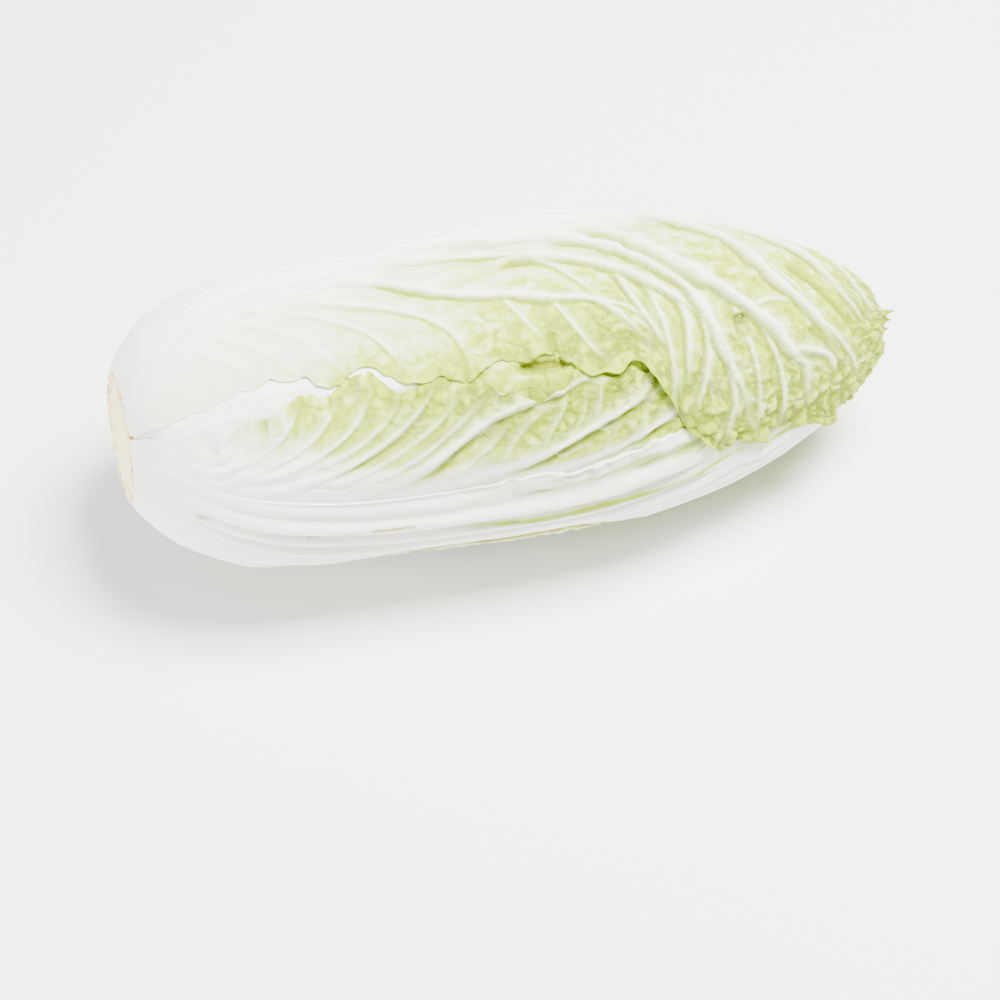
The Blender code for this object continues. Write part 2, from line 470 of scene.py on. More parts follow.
def shape_leaf(leaf, stack):
    """Positions of both sides of a leaf, and its surface marks."""
    rows, columns = leaf.rows + 1, leaf.columns + 1
    along = np.repeat(leaf.along[:, None], columns, 1)
    arc = np.repeat(leaf.arc[:, None], columns, 1)
    share = np.repeat(np.linspace(0, 1, columns)[None], rows, 0)
    low, high = smooth_table(leaf.low, along), smooth_table(leaf.high, along)
    angle = low + (high - low) * share
    radius = np.maximum(smooth_table(PROFILE, along), 6.0)
    per_mm = np.degrees(1.0 / radius)
    from_low = (angle - low) / per_mm
    from_high = (high - angle) / per_mm
    from_end = np.repeat((leaf.arc[-1] - leaf.arc)[:, None], columns, 1)
    across = angle / np.degrees(1.0 / 60.0)
    seed = leaf.seed

    # ragged outline
    ragged = smooth_table(leaf.ragged, along)
    for near, sign, salt in ((from_low, -1, 3), (from_high, 1, 9)):
        jag = (2.2 * noise(arc / 13, arc * 0 + salt, seed) * np.exp(-near / 9)
               + 1.5 * noise(arc / 5.6, arc * 0 + salt, seed + 1)
               * np.exp(-near / 4.5)
               + 0.7 * noise(arc / 2.6, arc * 0 + salt, seed + 2)
               * np.exp(-near / 2.2))
        angle = angle + sign * jag * per_mm * ragged
    tip_turn = angle / 30
    tip = (2.4 * noise(tip_turn, tip_turn * 0, seed + 4)
           + 0.5 * noise(tip_turn * 2.3, tip_turn * 0, seed + 6))
    for b, span, more in leaf.lobes:
        tip = tip + more * np.exp(-(turn_gap(angle, b) / span) ** 2)
    along = along + tip * np.exp(-from_end / 12)

    # how much of each place is blade rather than rib
    mid = smooth_table(leaf.mid, along)
    rib = smooth_table(leaf.rib, along) * (1 + 0.25 * noise(
        arc / 17, angle / 14, seed + 8))
    blade = step(0.72 * rib, 1.25 * rib + 6, np.abs(angle - mid))
    rim = np.minimum(np.minimum(from_low, from_high), 1.4 * from_end)
    rim = np.exp(-(rim / leaf.frill) ** 2)
    savoy = smooth_table(leaf.savoy, along) * blade * (0.35 + 1.05 * rim)

    turn = np.radians(angle)
    lean = radius * np.exp((LEAF_START - along) / 15) * (
        CUT_LEAN[0] * np.cos(turn) + CUT_LEAN[1] * np.sin(turn))
    base = head_points(along, angle, 0.0)
    veins = list(leaf.veins) if leaf.veins else fanned_veins(leaf)
    veins += list(leaf.extra_veins)
    if leaf.back_fan:
        veins += fanned_veins(leaf, (-1,), 8, 70.0, 30.0)
    twigs = branched(veins, seed)
    tall, white, near, crease, lee_shade, ran = vein_relief(base, angle, veins)
    tall2, white2 = vein_relief(base, angle, twigs, 0.3)[:2]
    # fold lines: sunk into the surface; their mask later gives painted shade
    sink, fold_line_shade = vein_relief(base, angle, leaf.folds, 0.25)[:2]

    # stalk ribs run along the leaf and fade into the blade
    width = (high - low)[rows // 3, 0] * math.radians(1) * 66
    count = max(4, round(width / RIB_GAP))
    line = share * count + 0.24 * noise(
        arc / 130, share * count / 2.6, seed + 11) + leaf.phase
    which = np.round(line)
    crest = np.abs(np.cos(np.pi * line))
    size = 0.45 + 0.75 * hashed(
        which.astype(int), which.astype(int) * 0, seed)
    size_off = 0.45 + 0.75 * hashed(
        np.floor(line).astype(int), which.astype(int) * 0 + 1, seed)
    sharp = np.exp(-(turn_gap(line * 360, 180) / 360 / 0.10) ** 2)
    ridges = leaf.ridges * (size * crest ** 0.75 + 0.22 * size_off * sharp)
    ridges = ridges * (1 - 0.85 * blade)
    ridges = ridges * step(4, 70, along) * (1 - step(250, 320, along))

    # the blade falls away from its veins and puckers into small panels
    bent = base + 1.6 * np.stack([
        noise(arc / 7, across / 7, seed + k) for k in (21, 22, 23)], -1)
    one, two = (
        a.reshape(arc.shape) for a in cells(bent / PANEL, seed + 24))
    puff = np.clip((two - one) / 0.45, 0, 1) ** 0.7
    one, two = (
        a.reshape(arc.shape) for a in cells(bent / SMALL_PANEL, seed + 25))
    puff_small = np.clip((two - one) / 0.5, 0, 1) ** 0.8
    wrinkle = 1 - np.abs(noise(
        arc / 10 + across / 19, across / 6.5, seed + 26))
    pucker = savoy * (
        (0.25 + 0.75 * rim) * (0.85 * puff + 0.30 * puff_small - 0.6)
        + 0.45 * wrinkle ** 2
        + 0.50 * layered(arc / 10, across / 7, seed + 27))
    reach = np.minimum(near, 14.0)
    pleat = 1 - np.abs(noise(reach / 4.6 + 0.6 * noise(
        arc / 9, across / 9, seed + 27), ran / 13.0, seed + 28))
    rung = 1 - np.abs(noise(reach / 10.0, ran / 5.6 + 0.8 * noise(
        arc / 8, across / 8, seed + 29), seed + 30))
    crumple = blurred(0.75 * pleat ** 2 + 0.65 * rung ** 3, 1) - 0.5
    pucker = pucker + savoy * crumple * (1 - step(12, 20, near)) * (
        0.9 - 0.35 * rim) * (1 - 0.5 * step(300, 335, along))
    pucker = pucker * (1 - 0.85 * np.exp(-(near / 2.6) ** 2))

    # slow waves everywhere, quick ones at the edges
    slow = (0.35 + 0.65 * blade) * layered(
        arc / 46, across / 26, seed + 31, 2)
    edge_near = np.minimum(np.minimum(from_low, from_high), from_end)
    edge_side = np.where(from_end < np.minimum(from_low, from_high),
                         angle * 0.3, arc)
    fold = (noise(edge_side / 8.5, edge_near / 26, seed + 33)
            + 0.70 * noise(edge_side / 4.2, edge_near / 16, seed + 34)
            + 0.20 * noise(edge_side / 2.4, edge_near / 10, seed + 35))
    sway = (noise(edge_side / 9.5 + 40, edge_near / 26, seed + 33)
            + 0.75 * noise(edge_side / 4.6 + 40, edge_near / 16, seed + 34))
    ruffle_size = smooth_table(leaf.ruffle, along) * ragged * (
        0.55 + 0.45 * np.clip(smooth_table(leaf.savoy, along), 0, 1.2)) * (
            1 - 0.65 * step(315, 335, along))
    crimp = np.exp(-edge_near / 7.5)
    ruffle = ruffle_size * (fold + 0.55) * crimp
    along = along + 0.4 * sway * ruffle_size * crimp
    angle = angle + 0.3 * fold[::-1] * ruffle_size * crimp * per_mm

    # dents with painted shade in their pits, and browned scars along the ribs
    dent, pit_shade, brown = np.zeros((3, *along.shape))
    for a, b, span_a, span_b, deep, pit_shade_share in leaf.dents:
        shape = ((along - a) / span_a) ** 2 + (
            (angle - b) / per_mm / span_b) ** 2
        pit = 1 - step(0.58, 1.08, shape + 0.35 * noise(
            arc / 2.5, across / 2.5, seed + 41))
        dent = dent + deep * pit
        # painted shade: the pit's floor turns darker and greener
        pit_shade = np.maximum(pit_shade, pit_shade_share * pit)
    for a0, a1, b, wide in leaf.scars:
        off = (angle - b) / per_mm + 0.8 * noise(arc / 9, arc * 0, seed + 43)
        brown = np.maximum(brown, step(a0 - 3, a0, along) * (
            1 - step(a1, a1 + 3, along)) * np.exp(-(off / wide) ** 2))

    # all relief together: the broad moves both sides, the fine one side
    relief_size = smooth_table(RELIEF, along)
    side_near = np.minimum(from_low, from_high)
    dip = 1.6 * np.exp(-(side_near / 6.0) ** 2) * (1 - blade) * step(
        70, 130, along)
    flare = leaf.flare * np.exp(-from_end / 5.5) * (0.55 + 0.45 * noise(
        tip_turn * 1.3, tip_turn * 0 + 3, seed + 37))
    broad = slow + ruffle + flare - dip
    pucker = pucker * (1 - 0.75 * np.exp(-from_end / 6.0))
    vein = (1.4 * tall - 1.0 * crease) * (0.25 + 0.75 * blade)
    fine = (relief_size * (ridges + vein + tall2 * savoy ** 0.5 + pucker)
            - dent - 2.2 * sink)

    # under the leaves that are already there
    over = stack.at(along, angle)
    level = leaf.base_depth + leaf.sunk * step(2, 30, along)
    loose = step(80, 150, along)
    gap = LEAST_GAP + 0.15 * loose
    rest = np.maximum(level, over + gap)
    covered = step(-2.0, 2.5, over - level)
    outer = rest - broad * (1 - 0.85 * covered) - fine * (1 - 0.75 * covered)
    outer = np.maximum(outer, over + 0.6 * gap)
    thick_rib, thick_blade = leaf.thick
    taper = np.clip(edge_near / 3.0, 0.35, 1.0) * (
        blade + (1 - blade) * np.clip(side_near / 18.0, 0.2, 1.0))
    thick = (thick_blade + (thick_rib - thick_blade) * (1 - blade) ** 1.5
             * (1 - step(60, 300, along))) * taper
    inner = blurred(outer + fine * (1 - 0.75 * covered), 6) + thick
    inner = np.maximum(inner, outer + LEAST_THICK + LEAST_THICK * loose)
    stack.add(leaf, inner)

    # marks for the paint: whiteness, greenness, painted shade in the hollows,
    # creases and pits, and brownness
    relief = relief_size * (ridges + vein + 0.7 * tall2 * savoy
                            + pucker) + 0.6 * ruffle - 2.2 * sink
    sharp_low = blurred(relief, 8) - relief
    wide_low = blurred(relief, 110) - relief
    # painted shade: the hollows, the creases beside the veins and the sunk
    # fold lines get a darker, greener colour
    fold_shade = np.clip(2.4 * sharp_low, 0, 1)
    fold_shade = np.maximum(fold_shade, np.clip(1.3 * wide_low - 0.25, 0, 1))
    fold_shade = np.maximum(fold_shade, np.clip(1.1 * crease, 0, 1))
    fold_shade = np.maximum(fold_shade, 0.8 * fold_line_shade)
    # painted shade: the blade is greener in its hollows
    hollow_shade = np.clip(0.48 + 0.75 * wide_low + 0.9 * sharp_low, 0, 1.2)
    green = smooth_table(leaf.green, along) * blade * (0.50 + 0.50 * rim)
    green = green * (0.45 + 0.55 * step(
        rib + 4, rib + leaf.spread, np.abs(angle - mid)))
    green = green * (0.30 + 1.20 * hollow_shade) * (
        0.9 + 0.30 * layered(arc / 24, across / 15, seed + 51, 2))
    # painted shade: greener beside the vein creases, along the fold lines and
    # in the pits; the greener edges are the leaf's own colour
    green = green + (0.20 * np.exp(-edge_near / 8) + 0.30 * lee_shade
                     ) * blade * step(10, 150, along) + 0.6 * fold_line_shade + pit_shade
    white_all = np.maximum(white, 0.55 * white2 * step(0.1, 0.5, savoy))
    white_all = white_all * (1 - pit_shade)
    brown = np.maximum(brown, leaf.dried * np.exp(-edge_near / 3.0))
    brown = np.maximum(brown, 0.08 * pit_shade)
    marks = np.stack([
        np.clip(white_all, 0, 1), np.clip(green, 0, 1),
        np.clip(fold_shade * (0.55 + 0.45 * blade) + pit_shade, 0, 1),
        np.clip(brown, 0, 1),
    ], -1)
    outside = head_points(along, angle, outer)
    inside = head_points(along, angle, inner)
    outside[..., 0] += lean
    inside[..., 0] += lean
    return outside, inside, marks, arc, across


OUTSIDE = 7              # marks the vertices of a shell's outer grid
INNER_SHARE = 4          # outer faces beside one inner face, each way
UV_PER_MM = 0.01


def placed(name, bm, marks):
    """A linked, smooth object made from a bmesh, with its marks."""
    mesh = bpy.data.meshes.new(name)
    bm.to_mesh(mesh)
    bm.free()
    layer = mesh.attributes.new("leaf_marks", "FLOAT_COLOR", "POINT")
    layer.data.foreach_set("color", np.array(marks, np.float32).ravel())
    mesh.polygons.foreach_set("use_smooth", np.ones(len(mesh.polygons), bool))
    obj = bpy.data.objects.new(name, mesh)
    bpy.context.scene.collection.objects.link(obj)
    return obj


def shell_object(name, outside, inside, marks, arc, across):
    """A closed shell: a fine outer grid, a coarser inner one and a rim."""
    rows, columns = outside.shape[0] - 1, outside.shape[1] - 1
    bm = bmesh.new()
    side = bm.verts.layers.int.new("side")
    bmesh.ops.create_grid(bm, x_segments=rows, y_segments=columns, size=0.5)
    for vert in bm.verts:
        vert[side] = OUTSIDE
    made = bmesh.ops.create_grid(
        bm, x_segments=rows // INNER_SHARE,
        y_segments=columns // INNER_SHARE, size=0.5)
    rim = list({e for v in made["verts"] for e in v.link_edges
                if e.is_boundary})
    bmesh.ops.subdivide_edges(bm, edges=rim, cuts=INNER_SHARE - 1)
    sides, picks = [], []
    for vert in bm.verts:
        i = (vert.co.x + 0.5) * rows
        j = (vert.co.y + 0.5) * columns
        picks.append((min(max(round(i), 0), rows),
                      min(max(round(j), 0), columns)))
        sides.append(vert[side])
    picks, sides = np.array(picks), np.array(sides)
    picked = tuple(picks.T)
    places = np.where(sides[:, None] == OUTSIDE,
                      outside[picked], inside[picked]) * MM
    for vert, place in zip(bm.verts, places):
        vert.co = place
    bmesh.ops.bridge_loops(bm, edges=[e for e in bm.edges if e.is_boundary])
    bmesh.ops.recalc_face_normals(bm, faces=bm.faces)
    bm.verts.layers.int.remove(side)
    obj = placed(name, bm, marks[picked])
    mesh = obj.data
    loop_verts = np.empty(len(mesh.loops), dtype=np.int32)
    mesh.loops.foreach_get("vertex_index", loop_verts)
    flat = np.stack([arc, across], -1)[picked] * UV_PER_MM
    mesh.uv_layers.new(name="flat").data.foreach_set(
        "uv", flat[loop_verts].astype(np.float32).ravel())
    mesh.update()
    return obj


# ------------------------------------------------------------------ materials
class Value:
    """A shader socket that takes part in Python arithmetic."""

    def __init__(self, paint, socket):
        self.paint, self.socket = paint, socket

    def _math(self, operation, first, second, clamp=False):
        return self.paint.node(
            "ShaderNodeMath", {"operation": operation, "use_clamp": clamp},
            {0: first, 1: second}).out("Value")

    def __add__(self, other):
        return self._math("ADD", self, other)

    def __radd__(self, other):
        return self._math("ADD", other, self)

    def __sub__(self, other):
        return self._math("SUBTRACT", self, other)

    def __rsub__(self, other):
        return self._math("SUBTRACT", other, self)

    def __mul__(self, other):
        return self._math("MULTIPLY", self, other)

    def __rmul__(self, other):
        return self._math("MULTIPLY", other, self)

    def clamped(self):
        return self._math("ADD", self, 0.0, True)


class Made:
    """A node that was added, with its outputs by name."""

    def __init__(self, paint, made):
        self.paint, self.made = paint, made

    def out(self, name):
        return Value(self.paint, self.made.outputs[name])


class Paint:
    """A material, and the method that adds its nodes."""

    def __init__(self, name, **constants):
        self.material = bpy.data.materials.new(name)
        self.material.use_nodes = True
        self.tree = self.material.node_tree
        self.shader = self.tree.nodes["Principled BSDF"]
        for socket, value in constants.items():
            self.shader.inputs[socket.replace("_", " ")].default_value = value

    def node(self, kind, settings=None, inputs=None):
        made = self.tree.nodes.new(kind)
        for key, value in (settings or {}).items():
            if key == "stops":
                ramp = made.color_ramp
                while len(ramp.elements) < len(value):
                    ramp.elements.new(0.5)
                for element, (place, colour) in zip(ramp.elements, value):
                    element.position = place
                    element.color = colour
            else:
                setattr(made, key, value)
        for key, value in (inputs or {}).items():
            if isinstance(value, Value):
                self.tree.links.new(value.socket, made.inputs[key])
            else:
                made.inputs[key].default_value = value
        return Made(self, made)

    def mix(self, share, first, second):
        made = self.node("ShaderNodeMix", {"data_type": "RGBA"}, {0: share})
        for index, value in ((6, first), (7, second)):
            if isinstance(value, Value):
                self.tree.links.new(value.socket, made.made.inputs[index])
            else:
                made.made.inputs[index].default_value = (*value, 1.0)
        return Value(self, made.made.outputs[2])

    def between(self, value, low, high):
        return self.node(
            "ShaderNodeMapRange", {"interpolation_type": "SMOOTHSTEP"},
            {"Value": value, "From Min": low, "From Max": high}).out("Result")

    def noise(self, where, scale, detail=3.0, rough=0.55):
        return self.node(
            "ShaderNodeTexNoise", {}, {
                "Vector": where, "Scale": scale, "Detail": detail,
                "Roughness": rough}).out("Fac")

    def borders(self, where, scale, randomness):
        """Distance to the nearest border between scattered cells."""
        return self.node(
            "ShaderNodeTexVoronoi", {"feature": "DISTANCE_TO_EDGE"}, {
                "Vector": where, "Scale": scale,
                "Randomness": randomness}).out("Distance")

    def marks(self):
        """The mesh's own marks: the attribute and its three channels."""
        marks = self.node(
            "ShaderNodeAttribute", {"attribute_name": "leaf_marks"})
        parts = self.node(
            "ShaderNodeSeparateColor", {}, {0: marks.out("Color")})
        return marks, [parts.out(n) for n in ("Red", "Green", "Blue")]

    def feed(self, socket, value):
        self.tree.links.new(value.socket, self.shader.inputs[socket])


def leaf_paint(name, rib, pale, deep, fold_shade):
    """White ribs and veins on a green blade, with painted shade deep in its
    folds: darker and greener there.
    """
    paint = Paint(
        name, Subsurface_Weight=0.12, Subsurface_Radius=(1.0, 1.0, 0.55),
        Subsurface_Scale=0.0022, IOR=1.42, Specular_IOR_Level=0.07)
    # the marks: whiteness, greenness and painted shade; brownness in alpha
    marks, (white, green, low) = paint.marks()
    brown = marks.out("Alpha")
    place = paint.node("ShaderNodeTexCoord").out("Object")
    flat = paint.node("ShaderNodeUVMap", {"uv_map": "flat"}).out("UV")
    grain = paint.node("ShaderNodeVectorMath", {"operation": "MULTIPLY"},
                       {0: flat, 1: (0.22, 1.0, 1.0)}).out("Vector")

    thread = 1 - paint.between(paint.borders(flat, 33.0, 0.9), 0.02, 0.11)
    bent = paint.node("ShaderNodeVectorMath", {"operation": "MULTIPLY_ADD"}, {
        0: paint.node("ShaderNodeTexNoise", {}, {
            "Vector": place, "Scale": 110.0, "Detail": 2.0}).out("Color"),
        1: (0.006, 0.006, 0.006), 2: place}).out("Vector")
    # fine crinkle grooves: a bumped groove that also carries painted shade in
    # the colour
    crinkle_groove_shade = 1 - paint.between(paint.borders(bent, 150.0, 1.0), 0.0, 0.13)
    crinkle_groove_shade = crinkle_groove_shade * paint.between(paint.noise(place, 70.0, 2.0), 0.36, 0.56)
    blotch = paint.noise(place, 55.0, 3.0)
    fibre = paint.noise(grain, 260.0, 2.0)
    speck = paint.noise(place, 900.0, 2.0, 0.7)

    amount = (green * (0.8 + 0.5 * blotch)).clamped()
    blade = paint.node("ShaderNodeValToRGB", {"stops": (
        (0.0, (*rib, 1.0)), (0.34, (*pale, 1.0)), (1.0, (*deep, 1.0)))},
        {"Fac": amount}).out("Color")
    # painted shade: the blade turns to the fold shade colour in its hollows,
    # creases and pits
    colour = paint.mix((low * 0.85 * paint.between(green, 0.05, 0.4)
                        ).clamped(), blade, fold_shade)
    # painted shade along the crinkle grooves
    colour = paint.mix((crinkle_groove_shade * paint.between(green, 0.15, 0.7) * 0.48
                        ).clamped(), colour, fold_shade)
    colour = paint.mix((thread * green * 0.09).clamped(), colour,
                       tuple(0.5 * (a + b) for a, b in zip(rib, pale)))
    colour = paint.mix((white * 0.88).clamped(), colour,
                       paint.mix((paint.between(green, 0.08, 0.7) * 0.75
                                  ).clamped(), rib, (0.63, 0.75, 0.24)))
    # painted shade: greyish green in the hollows between the white ribs
    colour = paint.mix((low * 0.8 * (1 - paint.between(green, 0.05, 0.4))
                        ).clamped(), colour, (0.53, 0.56, 0.38))
    dots = paint.node("ShaderNodeTexVoronoi", {}, {
        "Vector": place, "Scale": 42.0, "Randomness": 1.0})
    dot = (1 - paint.between(dots.out("Distance"), 0.012, 0.024)) * (
        paint.between(paint.node("ShaderNodeSeparateColor", {}, {
            0: dots.out("Color")}).out("Red"), 0.55, 0.6))
    colour = paint.mix((dot * 0.75).clamped(), colour, (0.25, 0.18, 0.08))
    brown = (brown * paint.between(paint.noise(place, 700.0, 3.0, 0.7),
                                   0.34, 0.44)).clamped()
    colour = paint.mix(brown, colour, (0.36, 0.24, 0.06))
    paint.feed("Base Color", colour)
    paint.feed("Roughness", 0.34 + 0.14 * blotch + 0.08 * speck)
    relief = (fibre * 0.30 * (1 - 0.6 * green) + thread * green * 0.30
              - crinkle_groove_shade * green * 0.9
              + speck * 0.12 + paint.noise(place, 300.0, 3.0) * 0.35 * green)
    bump = paint.node("ShaderNodeBump", {}, {
        "Strength": 0.55, "Distance": 0.0006, "Height": relief})
    paint.feed("Normal", bump.out("Normal"))
    return paint.material


def stump_paint(cut, pith, fibre_brown):
    """A cut stem: creamy, with browned fibres towards its edge."""
    paint = Paint("stump_cut", Subsurface_Weight=0.12,
                  Subsurface_Radius=(1.0, 0.9, 0.5), Subsurface_Scale=0.003,
                  Specular_IOR_Level=0.3)
    ring, edge = paint.marks()[1][:2]
    place = paint.node("ShaderNodeTexCoord").out("Object")
    mottled = paint.noise(place, 120.0, 4.0, 0.65)
    streak = paint.noise(paint.node(
        "ShaderNodeMapping", {}, {
            "Vector": place, "Scale": (1.0, 0.35, 1.0)}).out("Vector"),
        420.0, 3.0, 0.6)
    colour = paint.mix(mottled, cut, pith)
    colour = paint.mix((ring * 0.6).clamped(), colour, (0.82, 0.78, 0.42))
    browned = (paint.between(streak, 0.46, 0.57)
               * (0.12 + 0.88 * edge)).clamped()
    colour = paint.mix(browned, colour, fibre_brown)
    paint.feed("Base Color", colour)
    paint.feed("Roughness", 0.55 + 0.2 * mottled)
    bump = paint.node("ShaderNodeBump", {}, {
        "Strength": 0.8, "Distance": 0.0010,
        "Height": 0.5 * mottled + 0.5 * streak})
    paint.feed("Normal", bump.out("Normal"))
    return paint.material


# ------------------------------------------------------------ the leaf layout
def vein(width, tall, taper, *points):
    """A vein through (along mm, angle) points."""
    return (points, width, tall, taper)


TOP_VEINS = (
    vein(0.8, 0.45, 0.4, (22, 2), (36, 10), (48, 19), (58, 28)),
    vein(0.9, 0.5, 0.4, (32, -2), (50, 8), (64, 18), (76, 30)),
    vein(0.9, 0.5, 0.4, (44, -4), (64, 6), (80, 16), (93, 30)),
    vein(1.2, 0.7, 0.5, (52, -6), (74, 2), (92, 9), (106, 17), (119, 33)),
    vein(1.3, 0.8, 0.5, (66, -7), (92, 1), (112, 7), (130, 14), (140, 22),
         (145, 34)),
    vein(2.0, 1.0, 0.55, (80, -10), (110, -6), (128, 1), (145, 7), (165, 10),
         (185, 14), (203, 17), (213, 25), (222, 36)),
    vein(0.9, 0.5, 0.6, (163, 10), (170, 20), (176, 29)),
    vein(1.0, 0.6, 0.6, (183, 14), (190, 24), (196, 33), (203, 40)),
    vein(1.0, 0.6, 0.6, (201, 17), (214, 20), (224, 27), (230, 36)),
    vein(1.6, 0.8, 0.55, (100, -16), (140, -12), (170, -8), (186, -2),
         (197, 8), (206, 17)),
    vein(2.8, 1.4, 0.55, (120, -24), (160, -19), (195, -14), (218, -7),
         (233, 3), (243, 13), (250, 27), (254, 42), (261, 60), (264, 78)),
    vein(2.0, 1.1, 0.45, (165, -5), (185, -5), (205, 0), (222, 7), (236, 17),
         (249, 28)),
    vein(1.4, 0.8, 0.6, (214, 5), (219, 18), (224, 28), (229, 38)),
    vein(1.3, 0.8, 0.6, (239, 17), (240, 30), (238, 42), (236, 52)),
    vein(1.3, 0.8, 0.6, (247, 25), (248, 38), (244, 52), (238, 64)),
    vein(1.4, 0.8, 0.6, (254, 34), (257, 50), (256, 68), (250, 84)),
    vein(2.9, 1.6, 0.5, (200, -24), (225, -12), (242, 2), (256, 13), (270, 25),
         (280, 35), (286, 47), (292, 56), (293, 66), (293, 78)),
    vein(1.6, 1.0, 0.6, (286, 47), (297, 50), (305, 56), (308, 68)),
    vein(1.2, 0.7, 0.6, (270, 25), (282, 21), (292, 23)),
    vein(1.0, 0.7, 0.5, (262, 21), (267, 40), (269, 62), (266, 84)),
    vein(1.0, 0.7, 0.5, (274, 31), (279, 50), (281, 70), (279, 88)),
    vein(1.0, 0.7, 0.5, (226, 12), (230, 32), (230, 48), (227, 62)),
    vein(1.1, 0.7, 0.5, (299, 26), (310, 44), (318, 62), (322, 84)),
    vein(1.0, 0.7, 0.5, (283, -2), (290, 6), (296, 14), (300, 26)),
    vein(2.6, 1.5, 0.5, (230, -36), (255, -28), (270, -16), (279, -3),
         (286, 9), (296, 22), (304, 35), (310, 50)),
    vein(2.0, 1.1, 0.5, (265, -45), (290, -28), (307, -12), (316, 3),
         (322, 18), (328, 36)),
    vein(1.6, 0.9, 0.5, (298, -50), (316, -30), (326, -8), (332, 12),
         (336, 32)),
)

TOP_FOLDS = (
    vein(1.5, 1.0, 0.3, (293, -2), (305, 12), (314, 27), (320, 44)),
    vein(1.3, 0.9, 0.3, (308, -4), (320, 12), (328, 28), (333, 46)),
    vein(1.2, 0.7, 0.3, (296, 36), (304, 48), (310, 62), (313, 78)),
    vein(1.3, 0.8, 0.3, (196, 43), (205, 37), (214, 33), (222, 36), (228, 44)),
)

FRONT_VEINS = (
    vein(0.8, 0.5, 0.4, (22, 60), (34, 57), (46, 53), (56, 47)),
    vein(0.9, 0.6, 0.4, (30, 62), (44, 59), (56, 54), (66, 47), (72, 38)),
    vein(1.0, 0.7, 0.4, (38, 64), (54, 61), (68, 56), (80, 48), (88, 39)),
    vein(1.2, 0.8, 0.4, (48, 66), (66, 62), (82, 56), (94, 48), (102, 38)),
    vein(1.0, 0.7, 0.4, (57, 67), (75, 63), (92, 57), (106, 49), (115, 40)),
    vein(1.4, 1.0, 0.4, (66, 69), (84, 65), (102, 58), (116, 50), (127, 41)),
    vein(1.0, 0.7, 0.4, (77, 71), (95, 67), (112, 60), (127, 52), (139, 43)),
    vein(1.3, 0.9, 0.4, (84, 73), (104, 69), (121, 62), (135, 54), (149, 45)),
    vein(2.4, 1.6, 0.45, (90, 76), (112, 71), (128, 64), (141, 57), (154, 52),
         (169, 49), (185, 46), (198, 41)),
    vein(1.1, 0.7, 0.4, (116, 77), (133, 71), (147, 63), (157, 56)),
    vein(2.7, 1.8, 0.4, (118, 80), (148, 74), (172, 68), (190, 62), (206, 57),
         (217, 51), (222, 43)),
    vein(0.9, 0.6, 0.5, (150, 73), (157, 63), (165, 56), (174, 52)),
    vein(1.0, 0.6, 0.5, (168, 68), (174, 60), (180, 53), (183, 48)),
    vein(0.9, 0.6, 0.5, (191, 62), (196, 53), (197, 46)),
    vein(2.2, 1.3, 0.4, (148, 82), (180, 76), (205, 71), (225, 64), (245, 58)),
)

LOW_RIBS = (
    vein(3.4, 1.7, 0.35, (110, 91), (165, 91), (210, 88), (250, 85), (290, 86),
         (325, 90)),
    vein(2.4, 1.4, 0.35, (130, 81), (180, 78), (225, 75), (260, 74),
         (300, 76)),
    vein(1.5, 0.9, 0.4, (190, 82), (215, 76), (240, 72), (262, 71)),
)

LOW_FOLDS = (
    vein(1.8, 1.0, 0.3, (150, 85), (190, 83), (225, 80), (260, 79), (300, 81)),
    vein(1.0, 0.7, 0.3, (120, 97), (165, 98), (215, 95), (265, 92), (310, 96)),
)


